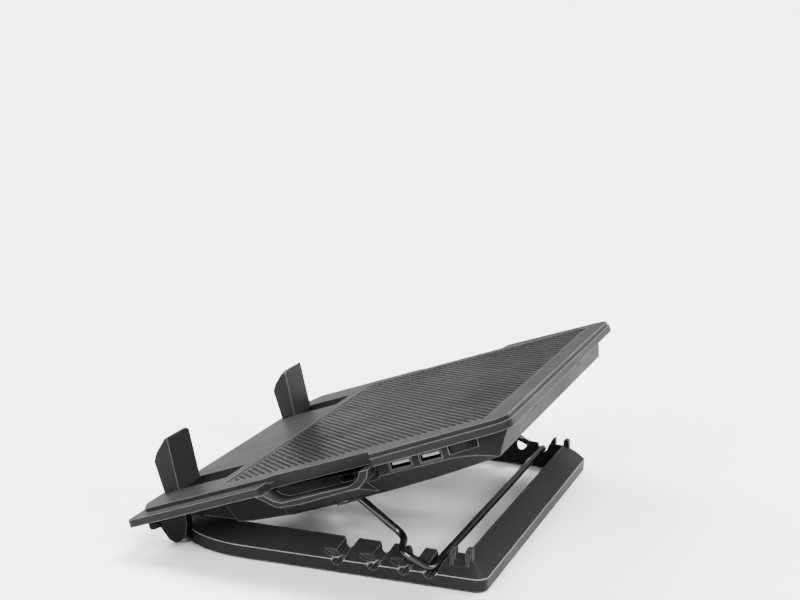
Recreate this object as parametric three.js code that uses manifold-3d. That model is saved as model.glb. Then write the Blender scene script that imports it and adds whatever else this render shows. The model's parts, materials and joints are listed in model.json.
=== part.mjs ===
// Laptop cooling pad: a tilting deck with a metal mesh top and one large fan, hinged at the front
// of a flat rectangular base and held up by a bent wire bail that drops into notches in the base.
// Units are millimetres. X runs left to right for the person typing, Y from front to back, Z up.
import * as THREE from 'three';
import { mergeVertices } from 'three/addons/utils/BufferGeometryUtils.js';
import Module from 'manifold-3d';

const wasm = await Module();
wasm.setup();

// ---------------------------------------------------------------- driving dimensions
const CLEARANCE = 0.3;             // gap kept between pieces that touch
const ORIGIN_Y = -113.2;           // middle of the whole object, measured from the back of the base

// Base: y = 0 is its back face
const BASE_HALF_WIDTH = 161;
const BASE_DEPTH = 222;
const BASE_BOTTOM = 1;             // the rubber feet lift the frame this much
const BASE_LIP = 9;                // top of the upright outer face
const BASE_CREASE = 14.2;          // where the outer slope turns flatter
const BASE_TOP = 20;
const BASE_RAIL = 16.3;            // outer face to the inner edge of the rail
const BASE_REAR_RADIUS = 9;
const BASE_FRONT_RADIUS = 60;
const NOTCHES = [-92.8, -68.9, -48.5, -31.6];   // steepest to lowest
const NOTCH_FLOOR = 13.35;
const CLIP_Y = -19.2;              // U-shaped clip that holds the stowed bail

// Deck: u runs back from its front edge, w up from its flange, both square to the deck
const TILT = 20.95;                // degrees
const HINGE = { y: -212, z: 7.5 }; // hinge line, in base coordinates
const HINGE_TO_FRONT = 13.44;
const HINGE_TO_TOP = 21.38;
const DECK_HALF_WIDTH = 187;
const DECK_DEPTH = 259.5;
const FLANGE_BOTTOM = -5;
const PLATFORM_TOP = 3;
const SCOOP = { front: 95, back: 169, x: 171.5 };  // hand scoop in each side of the deck
const EAR = { inner: 141, outer: 151 };
const EAR_SLOT = { inner: 138.5, outer: 153.5, back: -203.5 };
const PIN_RADIUS = 2.5;
const PIN_END = 149.5;             // the hinge pins stop short of the ears' outer faces

// Belly: the shell under the deck that holds the fan
const BELLY_TOP = FLANGE_BOTTOM - CLEARANCE;
const BELLY_SIDE = 174;
const BELLY_FLOOR_HALF = 150;
const BELLY_WALL = 2.4;

// Mesh panel and fan
const MESH = { half: 158, front: 58, back: 244, thickness: 0.6 };
const FAN = { u: 146, radius: 68, hub: 25, frameRadius: 73, bottom: -21.8, height: 15.5, blades: 9 };

// Bail, in the deck's u and w; a runs from the pivot to the crossbar, b square to it
const BAIL_PIVOT = { u: 134, w: -26 };
const BAIL_RADIUS = 2.7;
const BAIL_ANGLE = -45.27;         // from the deck's u to a
const BAIL_LENGTH = 72.6;
const BAIL_ARM_X = 133;
const BAIL_FOOT_X = 158;

// Laptop stops, ports and dial
const STOP = { inner: 94.5, outer: 130.5, u: 8, w: -1.9 };    // u, w of its pivot
const USB_U = [186.4, 206.6];
const USB_W = -9.2;
const BOARD_W = -13.2;
const DIAL = { x: 166.5, u: 226, radius: 9.5, bottom: -10.2, height: 4.4 };

// ---------------------------------------------------------------- shape helpers
const rad = THREE.MathUtils.degToRad;

function toSolid(geometry) {
  const bare = geometry.index ? geometry.toNonIndexed() : geometry.clone();
  bare.deleteAttribute('normal');
  bare.deleteAttribute('uv');
  const merged = mergeVertices(bare, 1e-4);
  return new wasm.Manifold(new wasm.Mesh({
    numProp: 3,
    vertProperties: new Float32Array(merged.attributes.position.array),
    triVerts: new Uint32Array(merged.index.array),
  }));
}

function toGeometry(solid) {
  const mesh = solid.getMesh();
  const geometry = new THREE.BufferGeometry();
  geometry.setAttribute('position', new THREE.BufferAttribute(mesh.vertProperties, 3));
  geometry.setIndex(new THREE.BufferAttribute(mesh.triVerts, 1));
  const flat = geometry.toNonIndexed();
  flat.computeVertexNormals();
  return flat;
}

function join(first, ...others) {
  return toGeometry(others.reduce((sum, other) => sum.add(toSolid(other)), toSolid(first)));
}

function cut(first, ...tools) {
  return toGeometry(tools.reduce((left, tool) => left.subtract(toSolid(tool)), toSolid(first)));
}

function common(first, ...others) {
  return toGeometry(others.reduce((left, other) => left.intersect(toSolid(other)), toSolid(first)));
}

// A closed outline through [x, y, radius] corners, each rounded by its own radius
function outline(corners) {
  const shape = new THREE.Shape();
  const count = corners.length;
  corners.forEach(([x, y, radius = 0], index) => {
    const here = new THREE.Vector2(x, y);
    const before = new THREE.Vector2(...corners[(index + count - 1) % count].slice(0, 2));
    const after = new THREE.Vector2(...corners[(index + 1) % count].slice(0, 2));
    const back = before.sub(here).normalize();
    const on = after.sub(here).normalize();
    const reach = radius / Math.tan(Math.acos(THREE.MathUtils.clamp(back.dot(on), -1, 1)) / 2);
    const start = here.clone().addScaledVector(back, reach);
    const end = here.clone().addScaledVector(on, reach);
    if (index === 0) {
      shape.moveTo(start.x, start.y);
    } else {
      shape.lineTo(start.x, start.y);
    }
    if (radius > 0) {
      const centre = back.clone().add(on).normalize();
      centre.multiplyScalar(Math.hypot(reach, radius)).add(here);
      const from = Math.atan2(start.y - centre.y, start.x - centre.x);
      const to = Math.atan2(end.y - centre.y, end.x - centre.x);
      const clockwise = back.cross(on) > 0;
      shape.absarc(centre.x, centre.y, radius, from, to, clockwise);
    }
  });
  return shape;
}

// Corners of the right half, front to back, completed with their mirror image
function mirrored(corners) {
  const left = corners.map(([x, y, radius]) => [-x, y, radius]).reverse();
  return [...corners, ...left];
}

function rectangle(x0, x1, y0, y1, radius = 0) {
  return outline([[x0, y0, radius], [x1, y0, radius], [x1, y1, radius], [x0, y1, radius]]);
}

// Prisms whose outline lies in the XY, YZ and XZ planes
function prismZ(shape, z0, z1, curveSegments = 6) {
  const geometry = new THREE.ExtrudeGeometry(shape, { depth: z1 - z0, bevelEnabled: false, curveSegments });
  return geometry.translate(0, 0, z0);
}

function prismX(shape, x0, x1, curveSegments = 6) {
  const geometry = prismZ(shape, 0, x1 - x0, curveSegments);
  geometry.applyMatrix4(new THREE.Matrix4().set(0, 0, 1, x0, 1, 0, 0, 0, 0, 1, 0, 0, 0, 0, 0, 1));
  return geometry;
}

function prismY(shape, y0, y1, curveSegments = 6) {
  const geometry = prismZ(shape, 0, y1 - y0, curveSegments);
  geometry.rotateX(Math.PI / 2);
  return geometry.translate(0, y1, 0);
}

function block(x0, x1, y0, y1, z0, z1) {
  const geometry = new THREE.BoxGeometry(x1 - x0, y1 - y0, z1 - z0);
  return geometry.translate((x0 + x1) / 2, (y0 + y1) / 2, (z0 + z1) / 2);
}

function rodX(radius, x0, x1, y, z, sides = 16) {
  const geometry = new THREE.CylinderGeometry(radius, radius, x1 - x0, sides);
  return geometry.rotateZ(Math.PI / 2).translate((x0 + x1) / 2, y, z);
}

function rodZ(radius, z0, z1, x, y, sides = 24) {
  const geometry = new THREE.CylinderGeometry(radius, radius, z1 - z0, sides);
  return geometry.rotateX(Math.PI / 2).translate(x, y, (z0 + z1) / 2);
}

// Rod between two points in space
function rodBetween(from, to, radius, sides = 12) {
  const span = new THREE.Vector3().subVectors(to, from);
  const geometry = new THREE.CylinderGeometry(radius, radius, span.length(), sides);
  const up = new THREE.Vector3(0, 1, 0);
  geometry.applyQuaternion(new THREE.Quaternion().setFromUnitVectors(up, span.clone().normalize()));
  return geometry.translate((from.x + to.x) / 2, (from.y + to.y) / 2, (from.z + to.z) / 2);
}

// Solid whose outline steps in by each [z, inset] pair on its way up
function stepped(outlineAt, levels, curveSegments) {
  const rings = levels.map(([z, inset]) => {
    const points = outlineAt(inset).getPoints(curveSegments);
    const distinct = points.filter((point, k) => point.distanceTo(points.at(k - 1)) > 1e-6);
    return distinct.map((point) => new THREE.Vector3(point.x, point.y, z));
  });
  const count = rings[0].length;
  const points = rings.flat();
  const faces = [];
  for (let level = 0; level + 1 < rings.length; level += 1) {
    for (let k = 0; k < count; k += 1) {
      const a = level * count + k;
      const b = level * count + (k + 1) % count;
      faces.push(a, b, b + count, a, b + count, a + count);
    }
  }
  const flat = rings[0].map((point) => new THREE.Vector2(point.x, point.y));
  const lid = THREE.ShapeUtils.triangulateShape(flat, []);
  const top = (rings.length - 1) * count;
  lid.forEach(([a, b, c]) => faces.push(c, b, a, top + a, top + b, top + c));
  const geometry = new THREE.BufferGeometry().setFromPoints(points);
  geometry.setIndex(faces);
  return geometry;
}

// Round bar along straight runs joined by smooth bends
function bentRod(points, bendRadius, radius, sides, steps) {
  const path = new THREE.CurvePath();
  let from = points[0];
  for (let k = 1; k + 1 < points.length; k += 1) {
    const reach = Math.min(bendRadius, points[k].distanceTo(points[k - 1]) / 2.05,
      points[k].distanceTo(points[k + 1]) / 2.05);
    const start = points[k].clone().lerp(points[k - 1], reach / points[k].distanceTo(points[k - 1]));
    const end = points[k].clone().lerp(points[k + 1], reach / points[k].distanceTo(points[k + 1]));
    path.add(new THREE.LineCurve3(from, start));
    path.add(new THREE.QuadraticBezierCurve3(start, points[k], end));
    from = end;
  }
  path.add(new THREE.LineCurve3(from, points[points.length - 1]));
  const section = new THREE.Shape();
  for (let k = 0; k < sides; k += 1) {
    const angle = (2 * Math.PI * k) / sides;
    if (k === 0) section.moveTo(radius, 0);
    else section.lineTo(radius * Math.cos(angle), radius * Math.sin(angle));
  }
  return new THREE.ExtrudeGeometry(section, { steps, extrudePath: path, bevelEnabled: false });
}

// ---------------------------------------------------------------- materials
function finish(color, roughness, metalness = 0) {
  return new THREE.MeshStandardMaterial({ color, roughness, metalness });
}

const satinPlastic = finish(0x2b2c2e, 0.5);
const shellPlastic = finish(0x242527, 0.55);
const glossPlastic = finish(0x1c1d1f, 0.3);
const rubber = finish(0x151515, 0.9);
const meshSteel = finish(0x1a1b1c, 0.5, 0.6);
const wireSteel = finish(0x161616, 0.35, 0.7);
const bareSteel = finish(0xb9bcc0, 0.3, 1);
const fanPlastic = finish(0x0f0f10, 0.45);
const boardGreen = finish(0x14502f, 0.5);
const nylon = finish(0xd9d8d2, 0.6);

const root = new THREE.Group();
const base = new THREE.Group();
const deck = new THREE.Group();    // u, w coordinates: x, u, w in this group's axes
base.position.y = -ORIGIN_Y;
root.add(base);
const hinge = new THREE.Group();
hinge.position.set(0, HINGE.y, HINGE.z);
hinge.rotation.x = rad(TILT);
deck.position.set(0, -HINGE_TO_FRONT, HINGE_TO_TOP);
hinge.add(deck);
base.add(hinge);

function place(parent, name, geometry, material) {
  const mesh = new THREE.Mesh(geometry, material);
  mesh.name = name;
  parent.add(mesh);
  return mesh;
}

const SIDES = [['right', 1], ['left', -1]];

// ---------------------------------------------------------------- base
function baseOutline(inset) {
  const x = BASE_HALF_WIDTH - inset;
  return outline(mirrored([
    [x, -BASE_DEPTH + inset, BASE_FRONT_RADIUS - inset],
    [x, -inset, Math.max(BASE_REAR_RADIUS - inset, 0.6)],
  ]));
}

function mirrorX(geometry) {
  const copy = geometry.index ? geometry.toNonIndexed() : geometry.clone();
  copy.scale(-1, 1, 1);
  const position = copy.attributes.position;
  const corner = new THREE.Vector3();
  const other = new THREE.Vector3();
  for (let k = 0; k < position.count; k += 3) {
    corner.fromBufferAttribute(position, k);
    other.fromBufferAttribute(position, k + 1);
    position.setXYZ(k, other.x, other.y, other.z);
    position.setXYZ(k + 1, corner.x, corner.y, corner.z);
  }
  return copy;
}

// The bail's right half from its pivot to the crossbar: x, then along and across its arm
const BAIL_POINTS = [
  [149.5, 0, 0], [BAIL_ARM_X, 0, 0], [BAIL_ARM_X + 3, 44.2, -6.4], [BAIL_FOOT_X, 48.8, -7.2],
  [BAIL_FOOT_X, 72, -7], [146, BAIL_LENGTH, 0],
].map((point) => new THREE.Vector3(...point));

// Room for the bail where it lies on the rail at the lowest notch
function bailRoom(points, steps) {
  const room = bentRod(points, 7.5, BAIL_RADIUS + 0.45, 10, steps);
  room.rotateX(rad(BAIL_ANGLE));
  room.translate(0, BAIL_PIVOT.u - HINGE_TO_FRONT, BAIL_PIVOT.w + HINGE_TO_TOP);
  room.rotateX(rad(TILT));
  return room.translate(0, HINGE.y, HINGE.z);
}

// One rounded notch and the channel that carries the bail's foot down the outer slope
function notchCut(y) {
  const inner = BASE_HALF_WIDTH - BASE_RAIL;
  const top = BASE_TOP + 1;
  const low = BAIL_RADIUS + CLEARANCE;
  const vee = outline([
    [y - low, NOTCH_FLOOR, low - 0.2], [y + low, NOTCH_FLOOR, low - 0.2], [y + low, NOTCH_FLOOR + low],
    [y + low + 2.4, top], [y - low - 2.4, top], [y - low, NOTCH_FLOOR + low],
  ]);
  const radius = 4;
  const axis = NOTCH_FLOOR + low + 0.9;
  const from = new THREE.Vector3(inner - 4, y + 1.5, axis + 2.8);
  const to = new THREE.Vector3(BASE_HALF_WIDTH + 4, y - 5.4, axis - 9.4);
  const across = new THREE.Vector3(126, BAIL_LENGTH, 0);
  const lowest = y === NOTCHES.at(-1);
  const used = lowest ? BAIL_POINTS.slice(1) : BAIL_POINTS.slice(3);
  const room = bailRoom([...used, across], lowest ? 26 : 14).translate(0, y - NOTCHES.at(-1), 0);
  return [prismX(vee, inner - 3, inner + 7, 4), rodBetween(from, to, radius, 10), room];
}

// Hollow underside of the frame, left solid at the feet, the hinge and under the notches
function frameHollow() {
  const wall = 2.6;
  const outer = stepped(baseOutline, [[0, wall], [6, wall], [10, 9.5]], 7);
  const inner = prismZ(baseOutline(BASE_RAIL - wall), -1, 12, 7);
  const keep = footPlaces().map(([x, y]) => rodZ(9.6, 0, 12, x, y, 20));
  [-1, 1].forEach((side) => {
    const x0 = Math.min(side * 108, side * 170);
    keep.push(block(x0, x0 + 62, -BASE_DEPTH, EAR_SLOT.back + 8.5, -1, 12));
    keep.push(block(x0, x0 + 62, NOTCHES[0] - 12, CLIP_Y - 9, 3.6, 12));
  });
  return cut(outer, inner, ...keep);
}

// The two hooks of the clip that grips the bail when the deck is folded flat
function clipHooks() {
  const inner = BASE_HALF_WIDTH - BASE_RAIL + 0.4;
  const front = outline([
    [-26.6, 17], [-22.3, 17], [-22.3, 23.2], [-22.8, 24.7, 0.6], [-24.3, 24.7, 0.6], [-26.6, 20.6],
  ]);
  const back = outline([
    [-16.1, 17], [-11.3, 17], [-12, 24.5, 0.6], [-15.4, 24.7, 0.6], [-16.1, 23.2],
  ]);
  const hooks = [prismX(front, inner, inner + 5.6, 2), prismX(back, inner, inner + 5.6, 2)];
  const rib = outline([[inner + 5, 14], [inner + 9.5, 14], [inner + 5, 22.5]]);
  [-24, -13.8].forEach((y) => hooks.push(prismY(rib, y - 1, y + 1)));
  return hooks;
}

function baseFrame() {
  const body = stepped(baseOutline, [
    [BASE_BOTTOM, 0], [BASE_LIP, 0], [BASE_CREASE, 6.6], [BASE_TOP, BASE_RAIL - 1.5],
  ], 7);
  const opening = prismZ(baseOutline(BASE_RAIL), 0, BASE_TOP + 2, 7);
  const cuts = [frameHollow()];
  const adds = [];
  SIDES.forEach(([, side]) => {
    const flip = (geometry) => (side > 0 ? geometry : mirrorX(geometry));
    NOTCHES.forEach((y) => notchCut(y).forEach((tool) => cuts.push(flip(tool))));
    cuts.push(flip(block(EAR_SLOT.inner, EAR_SLOT.outer, -BASE_DEPTH - 5, EAR_SLOT.back, 0, 30)));
    cuts.push(flip(rodX(PIN_RADIUS + CLEARANCE, 120, EAR_SLOT.inner + 1, HINGE.y, HINGE.z, 16)));
    adds.push(flip(rodX(6.2, 110, EAR_SLOT.inner - 0.1, HINGE.y, HINGE.z, 20)));
    clipHooks().forEach((hook) => adds.push(flip(hook)));
  });
  const wells = footPlaces().map(([x, y]) => rodZ(7.4, 0, BASE_BOTTOM + 1.8, x, y, 20));
  return cut(join(cut(body, opening), ...adds), ...cuts, ...wells);
}

function footPlaces() {
  const rear = BASE_HALF_WIDTH - 10.5;
  return [[rear, -13.5], [-rear, -13.5], [145.9, -187.9], [-145.9, -187.9]];
}

place(base, 'base_frame', baseFrame(), satinPlastic);
const FOOT_NAMES = ['foot_rear_right', 'foot_rear_left', 'foot_front_right', 'foot_front_left'];
footPlaces().forEach(([x, y], index) => {
  place(base, FOOT_NAMES[index], rodZ(7, 0, BASE_BOTTOM + 1.8 - CLEARANCE, x, y, 20), rubber);
});
SIDES.forEach(([name, side]) => {
  const pin = rodX(PIN_RADIUS, 122, PIN_END, HINGE.y, HINGE.z, 16);
  place(base, `hinge_pin_${name}`, side > 0 ? pin : mirrorX(pin), bareSteel);
});

// ---------------------------------------------------------------- deck tray
function trayOutline() {
  return outline(mirrored([
    [DECK_HALF_WIDTH, 0, 5],
    [DECK_HALF_WIDTH, SCOOP.front, 2],
    [SCOOP.x, SCOOP.front + 2, 4],
    [SCOOP.x, SCOOP.back, 3],
    [DECK_HALF_WIDTH - 2.6, SCOOP.back + 2, 3],
    [172, DECK_DEPTH, 13],
  ]));
}

function platformOutline() {
  return outline(mirrored([
    [155, 1.2, 8],
    [SCOOP.x + 3.6, 9, 6],
    [SCOOP.x + 3.6, SCOOP.front + 1, 3],
    [SCOOP.x, SCOOP.front + 5, 3],
    [SCOOP.x, SCOOP.back, 3],
    [DECK_HALF_WIDTH - 4, SCOOP.back + 2, 3],
    [170.6, DECK_DEPTH - 1.2, 12],
  ]));
}

const STOP_SLOT = { front: 2.6, back: 50.6, inner: STOP.inner - 0.6, outer: STOP.outer + 0.6 };

function tray() {
  const body = join(prismZ(trayOutline(), FLANGE_BOTTOM, 0, 6),
    prismZ(platformOutline(), -1, PLATFORM_TOP, 6));
  const ledge = 6;
  const cuts = [
    prismZ(rectangle(-MESH.half, MESH.half, MESH.front, MESH.back, 8), PLATFORM_TOP - 1.3, 9, 4),
    prismZ(rectangle(-MESH.half + ledge, MESH.half - ledge, MESH.front + ledge, MESH.back - ledge, 6),
      -9, 9, 4),
  ];
  SIDES.forEach(([, side]) => {
    const flip = (geometry) => (side > 0 ? geometry : mirrorX(geometry));
    const { front, back, inner, outer } = STOP_SLOT;
    cuts.push(flip(block(inner, outer, front, back, -9, 9)));
    cuts.push(flip(rodX(1.5 + CLEARANCE, inner - 5, outer + 5, STOP.u, STOP.w, 12)));
    // grooved line just inside the side edge
    cuts.push(flip(block(178.4, 179.4, 8, SCOOP.front - 6, -0.6, 1)));
  });
  return cut(body, ...cuts);
}

place(deck, 'deck_tray', tray(), satinPlastic);

const meshPanel = prismZ(rectangle(-MESH.half + CLEARANCE, MESH.half - CLEARANCE,
  MESH.front + CLEARANCE, MESH.back - CLEARANCE, 7.7), 0, MESH.thickness, 4);
place(deck, 'mesh_panel', meshPanel.translate(0, 0, PLATFORM_TOP - 1.3 + CLEARANCE), meshSteel);

// Round bumpers under the flange
[['front', 16], ['rear', 47]].forEach(([row, u]) => {
  SIDES.forEach(([name, side]) => {
    const top = FLANGE_BOTTOM - CLEARANCE;
    const bumper = new THREE.LatheGeometry([
      [0, -5], [2.8, -5], [4, -3.8], [4, 0], [0, 0],
    ].map(([r, z]) => new THREE.Vector2(r, z)), 16);
    bumper.rotateX(Math.PI / 2).translate(side * 180.5, u, top);
    place(deck, `bumper_${row}_${name}`, bumper, rubber);
  });
});

// ---------------------------------------------------------------- belly
// The belly's outside pulled in by a wall thickness, for the shell itself and its hollow
function bellyShape(inset) {
  const side = outline([
    [53 + inset, 10], [53 + inset, -12 + inset], [58 + inset, -24 + inset], [69, -26 + inset],
    [86, -27.4 + inset], [112, -28.4 + inset], [140, -28.6 + inset], [171, -27.8 + inset],
    [196, -26.5 + inset], [221, -24.3 + inset], [245 - inset, -21.6 + inset],
    [251.5 - inset, -7], [251.5 - inset, 10],
  ]);
  const plan = outline(mirrored([
    [BELLY_FLOOR_HALF - inset, 50, 6],
    [BELLY_FLOOR_HALF - inset, 94 + inset, 3],
    [SCOOP.x - 1.3 - inset, 99 + inset, 3],
    [SCOOP.x - 1.3 - inset, 168 + inset, 2],
    [BELLY_SIDE - inset, 170.5 + inset, 2],
    [BELLY_SIDE - inset, 252 - inset, 35 - inset],
  ]));
  const ends = outline(mirrored([
    [BELLY_FLOOR_HALF - 4 - inset, -32, 0],
    [BELLY_FLOOR_HALF - inset, -28.6 + inset * 0.5, 0],
    [BELLY_SIDE - inset, -13.5 + inset * 0.5, 0],
    [BELLY_SIDE - inset, 10, 0],
  ]));
  const top = inset > 0 ? 8 : BELLY_TOP;
  return common(prismX(side, -180, 180), prismZ(plan, -40, top, 6), prismY(ends, 40, 260));
}

// Scoop: a shelf that dips below the flange and the slope under it
function scoopWall() {
  const shelf = outline([
    [92, BELLY_TOP], [97.5, BELLY_TOP], [103, -10.4, 3], [108, -12.7, 4], [155, -12.7, 6], [161, -9.8, 3],
    [164, BELLY_TOP], [169.5, BELLY_TOP], [167.3, -10.4, 4], [161, -15.2, 5], [120, -16.4, 20],
    [104, -15.2, 5], [98.5, -10.4, 4],
  ]);
  const under = outline([[DECK_HALF_WIDTH - 0.3, -15], [DECK_HALF_WIDTH - 0.3, -15.6],
    [BELLY_FLOOR_HALF, -27.2], [BELLY_FLOOR_HALF, -13]]);
  return [prismX(shelf, BELLY_SIDE - 6, DECK_HALF_WIDTH, 4), prismY(under, 106, 160)];
}

// Ear that hangs on the hinge pin, and the web that ties it to the belly
function ear() {
  const plate = outline([
    [1.8, BELLY_TOP], [3, -13.6], [6.9, -24.6, 3], [10.6, -27.7, 3], [14.6, -27.5, 3],
    [18.6, -26, 1.5], [22.4, -18, 4], [24.4, BELLY_TOP],
  ]);
  const web = outline([[18, BELLY_TOP], [18, -9], [34, -15.5], [56, -23.2], [56, BELLY_TOP]]);
  return [prismX(plate, EAR.inner, EAR.outer, 3), prismX(web, EAR.inner, EAR.inner + 5)];
}

// Slots of the round air intake: concentric arcs with eight spokes left standing
function intakeCuts() {
  const cuts = [];
  const sectors = 8;
  [[28, 38], [42, 52], [56, 66]].forEach(([inner, outer]) => {
    for (let k = 0; k < sectors; k += 1) {
      const middle = (2 * Math.PI * (k + 0.5)) / sectors;
      const half = Math.PI / sectors;
      const gapIn = half - 2 / inner;
      const gapOut = half - 2 / outer;
      const shape = new THREE.Shape();
      shape.absarc(0, 0, outer, middle - gapOut, middle + gapOut, false);
      shape.absarc(0, 0, inner, middle + gapIn, middle - gapIn, true);
      cuts.push(prismZ(shape, -40, -10, 3).translate(0, FAN.u, 0));
    }
  });
  return cuts;
}

function screwPlaces() {
  return [[136, 72], [-136, 72], [136, 206], [-136, 206]];
}

function belly() {
  const posts = screwPlaces().map(([x, u]) => rodZ(6, -40, 8, x, u, 16));
  const housings = [-1, 1].map((side) => {
    const x0 = Math.min(side * 126, side * 156);
    return block(x0, x0 + 30, BAIL_PIVOT.u - 9, 161, -40, -18.6);
  });
  const boardPosts = [160, 214].map((u) => rodZ(3, -40, BOARD_W - CLEARANCE, 152, u, 12));
  const hollow = cut(bellyShape(BELLY_WALL), ...posts, ...boardPosts, ...housings);
  const cuts = [hollow, ...intakeCuts()];
  const adds = [];
  SIDES.forEach(([, side]) => {
    const flip = (geometry) => (side > 0 ? geometry : mirrorX(geometry));
    [...scoopWall(), ...ear()].forEach((piece) => adds.push(flip(piece)));
    // recess for the bail's arm and the open channel for its pivot
    cuts.push(flip(block(128.6, 137.6, 128, 157, -40, -21.4)));
    cuts.push(flip(block(130, 152, BAIL_PIVOT.u - 3.1, BAIL_PIVOT.u + 3.1, -40, BAIL_PIVOT.w + 3.1)));
    cuts.push(flip(rodX(PIN_RADIUS + CLEARANCE, 130, PIN_END + CLEARANCE, HINGE_TO_FRONT, -HINGE_TO_TOP,
      16)));
    // small finger notches in the back wall
    cuts.push(flip(block(66, 78, 249, 262, -13.5, -9.5)));
  });
  // openings on the right for the ports, the dial and the power inlet
  USB_U.forEach((u) => cuts.push(block(160, 180, u - 7.4, u + 7.4, USB_W - 2.7, USB_W + 3.4)));
  cuts.push(rodZ(DIAL.radius + 0.8, DIAL.bottom - 0.8, DIAL.bottom + DIAL.height + 1.2, DIAL.x, DIAL.u, 24));
  const oval = outline([[143.6, -12.2, 2.4], [154, -12.2, 2.4], [154, -7.2, 2.4], [143.6, -7.2, 2.4]]);
  cuts.push(prismX(oval, 160, 172, 3));
  screwPlaces().forEach(([x, u]) => cuts.push(rodZ(3.4, -40, -22, x, u, 14)));
  return cut(join(bellyShape(0), ...adds), ...cuts);
}

place(deck, 'belly', belly(), shellPlastic);

// Screws that hold the belly to the tray, seen in deep wells
function screw(length) {
  const profile = [[0, -length], [1.4, -length], [1.4, 1.6], [3, 2.2], [3, 3.4], [0, 3.4]]
    .map(([r, z]) => new THREE.Vector2(r, z));
  const body = new THREE.LatheGeometry(profile, 12).rotateX(Math.PI / 2);
  body.rotateX(Math.PI);
  return cut(body, block(-2, 2, -0.4, 0.4, -9, -2.6), block(-0.4, 0.4, -2, 2, -9, -2.6));
}
screwPlaces().forEach(([x, u], index) => {
  place(deck, `case_screw_${index + 1}`, screw(0.5).translate(x, u, -22.8), bareSteel);
});

// Bail keepers: plates that close the pivot channels from below
SIDES.forEach(([name, side]) => {
  const plate = prismZ(rectangle(138.8, 147, BAIL_PIVOT.u - 8, BAIL_PIVOT.u + 8, 1.5), -30.1, -29, 2);
  place(deck, `bail_keeper_${name}`, side > 0 ? plate : mirrorX(plate), shellPlastic);
});

// ---------------------------------------------------------------- fan
const fanSite = new THREE.Group();
fanSite.position.set(0, FAN.u, FAN.bottom);
deck.add(fanSite);

function fanFrame() {
  const ring = prismZ(new THREE.Shape().absarc(0, 0, FAN.frameRadius, 0, 2 * Math.PI), 0, FAN.height, 20);
  const bore = prismZ(new THREE.Shape().absarc(0, 0, FAN.radius + 2, 0, 2 * Math.PI), -1, 30, 20);
  const tabs = [45, 135, 225, 315].map((angle) => {
    const tab = rodZ(7, 0, 4, 78, 0, 12);
    return cut(tab.rotateZ(rad(angle)), rodZ(1.8, -1, 9, 78 * Math.cos(rad(angle)),
      78 * Math.sin(rad(angle)), 10));
  });
  const struts = [20, 110, 200, 290].map((angle) => block(18, FAN.radius + 4, -2, 2, 0, 2.4)
    .rotateZ(rad(angle)));
  const seat = rodZ(22, 0, 2.4, 0, 0, 28);
  return join(cut(join(ring, ...tabs), bore), seat, ...struts);
}

function fanRotor() {
  const hub = rodZ(FAN.hub, 3.2, FAN.height - 0.6, 0, 0, 30);
  const hollow = rodZ(FAN.hub - 2, 2, FAN.height - 2.8, 0, 0, 24);
  const blades = [];
  for (let k = 0; k < FAN.blades; k += 1) {
    const width = 17;
    const blade = block(FAN.hub - 2.2, FAN.radius, -width / 2, width / 2, -0.8, 0.8);
    blade.rotateX(rad(36));
    blades.push(blade.translate(0, 0, 9.2).rotateZ((2 * Math.PI * k) / FAN.blades));
  }
  const swept = join(hub, ...blades);
  const bounds = rodZ(FAN.radius, 3.2, FAN.height - 0.6, 0, 0, 40);
  return cut(common(swept, bounds), hollow);
}

place(fanSite, 'fan_frame', fanFrame(), fanPlastic);
place(fanSite, 'fan_rotor', fanRotor(), fanPlastic);
place(fanSite, 'fan_motor', rodZ(18, 2.4 + CLEARANCE, FAN.height - 3.1, 0, 0, 20), bareSteel);
[45, 135, 225, 315].forEach((angle, index) => {
  const x = 78 * Math.cos(rad(angle));
  const y = 78 * Math.sin(rad(angle));
  const head = rodZ(3, 4 + CLEARANCE, 6.2, x, y, 10);
  place(fanSite, `fan_screw_${index + 1}`, join(head, rodZ(1.4, 0.4, 5, x, y, 8)), bareSteel);
});

// ---------------------------------------------------------------- electronics
place(deck, 'circuit_board', block(144, 165, 140, 230, BOARD_W, BOARD_W + 1.2), boardGreen);
USB_U.forEach((u, index) => {
  const can = block(159.4, 173.7, u - 7.1, u + 7.1, USB_W - 2.4, USB_W + 3.1);
  const mouth = block(162, 175, u - 6.5, u + 6.5, USB_W - 1.8, USB_W + 2.5);
  place(deck, `usb_port_${index + 1}`, cut(can, mouth), bareSteel);
  const tongue = block(162 + CLEARANCE, 172.6, u - 5.6, u + 5.6, USB_W + 0.2, USB_W + 1.9);
  place(deck, `usb_tongue_${index + 1}`, tongue, nylon);
});
const inletCan = block(160.6, 169.4, 145, 152.6, -11.6, -7.9);
place(deck, 'power_inlet', cut(inletCan, block(162, 175, 145.6, 152, -11, -8.5)), bareSteel);

function dialWheel() {
  const wheel = rodZ(DIAL.radius, DIAL.bottom, DIAL.bottom + DIAL.height, DIAL.x, DIAL.u, 30);
  const grooves = [];
  for (let k = 0; k < 15; k += 1) {
    const angle = (2 * Math.PI * k) / 15;
    grooves.push(rodZ(0.6, DIAL.bottom - 1, 0, DIAL.x + DIAL.radius * Math.cos(angle),
      DIAL.u + DIAL.radius * Math.sin(angle), 6));
  }
  return cut(wheel, ...grooves, rodZ(2 + CLEARANCE, -30, 30, DIAL.x, DIAL.u, 12));
}
place(deck, 'speed_dial', dialWheel(), glossPlastic);
const dialBody = block(DIAL.x - 6, DIAL.x + 1.8, DIAL.u - 4.5, DIAL.u + 4.5,
  BOARD_W + 1.5, DIAL.bottom - CLEARANCE);
place(deck, 'dial_control', join(dialBody, rodZ(2, BOARD_W + 2, -6.2, DIAL.x, DIAL.u, 12)), bareSteel);

// ---------------------------------------------------------------- bail
const bailSite = new THREE.Group();
bailSite.position.set(0, BAIL_PIVOT.u, BAIL_PIVOT.w);
bailSite.rotation.x = rad(BAIL_ANGLE);
deck.add(bailSite);

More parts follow.
